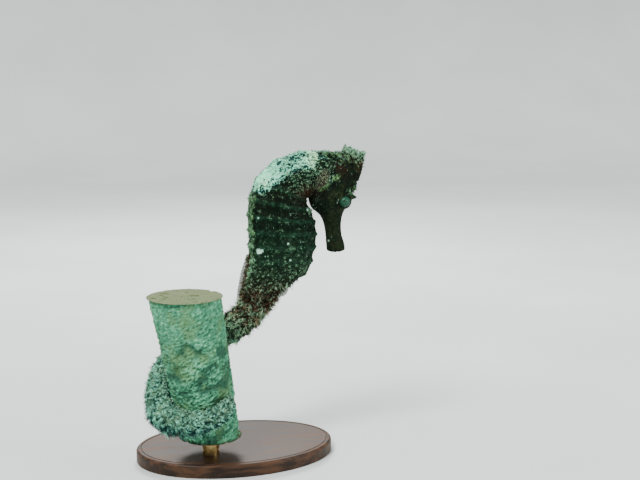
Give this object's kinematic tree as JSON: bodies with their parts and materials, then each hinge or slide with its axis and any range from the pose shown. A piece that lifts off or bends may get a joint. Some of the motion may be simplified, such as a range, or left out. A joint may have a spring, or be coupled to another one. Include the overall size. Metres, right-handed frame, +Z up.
{
  "type": "seahorse",
  "caption": "Still life-size model of a dark long-snouted seahorse with a pale mottled saddle, its tail gripping a cut sponge finger on a small oval display stand.",
  "frame": {"origin": "middle of the underside of the stand's base", "axes": "+X the way the animal faces, +Y its left side, +Z up"},
  "size_m": [0.0726, 0.0442, 0.0935],
  "materials": {
    "skin": "matte, rough with fine filaments; nearly black brown with a pale mint saddle",
    "fin": "thin, satin, olive brown",
    "eye": "polished",
    "sponge": "dry, finely wrinkled and pitted",
    "stand_wood": "dark, satin varnish",
    "stand_metal": "brushed"
  },
  "bodies": {
    "root": {"snout": "skin", "head": "skin", "coronet": "skin", "neck": "skin", "trunk_front": "skin", "trunk_rear": "skin", "tail_1": "skin", "tail_2": "skin", "tail_3": "skin", "tail_4": "skin", "tail_5": "skin", "dorsal_fin": "fin", "anal_fin": "fin", "pectoral_fin_left": "fin", "pectoral_fin_right": "fin", "eye_left": "eye", "eye_right": "eye", "perch_sponge": "sponge", "stand_base": "stand_wood", "stand_rod": "stand_metal"}
  },
  "joints": []
}
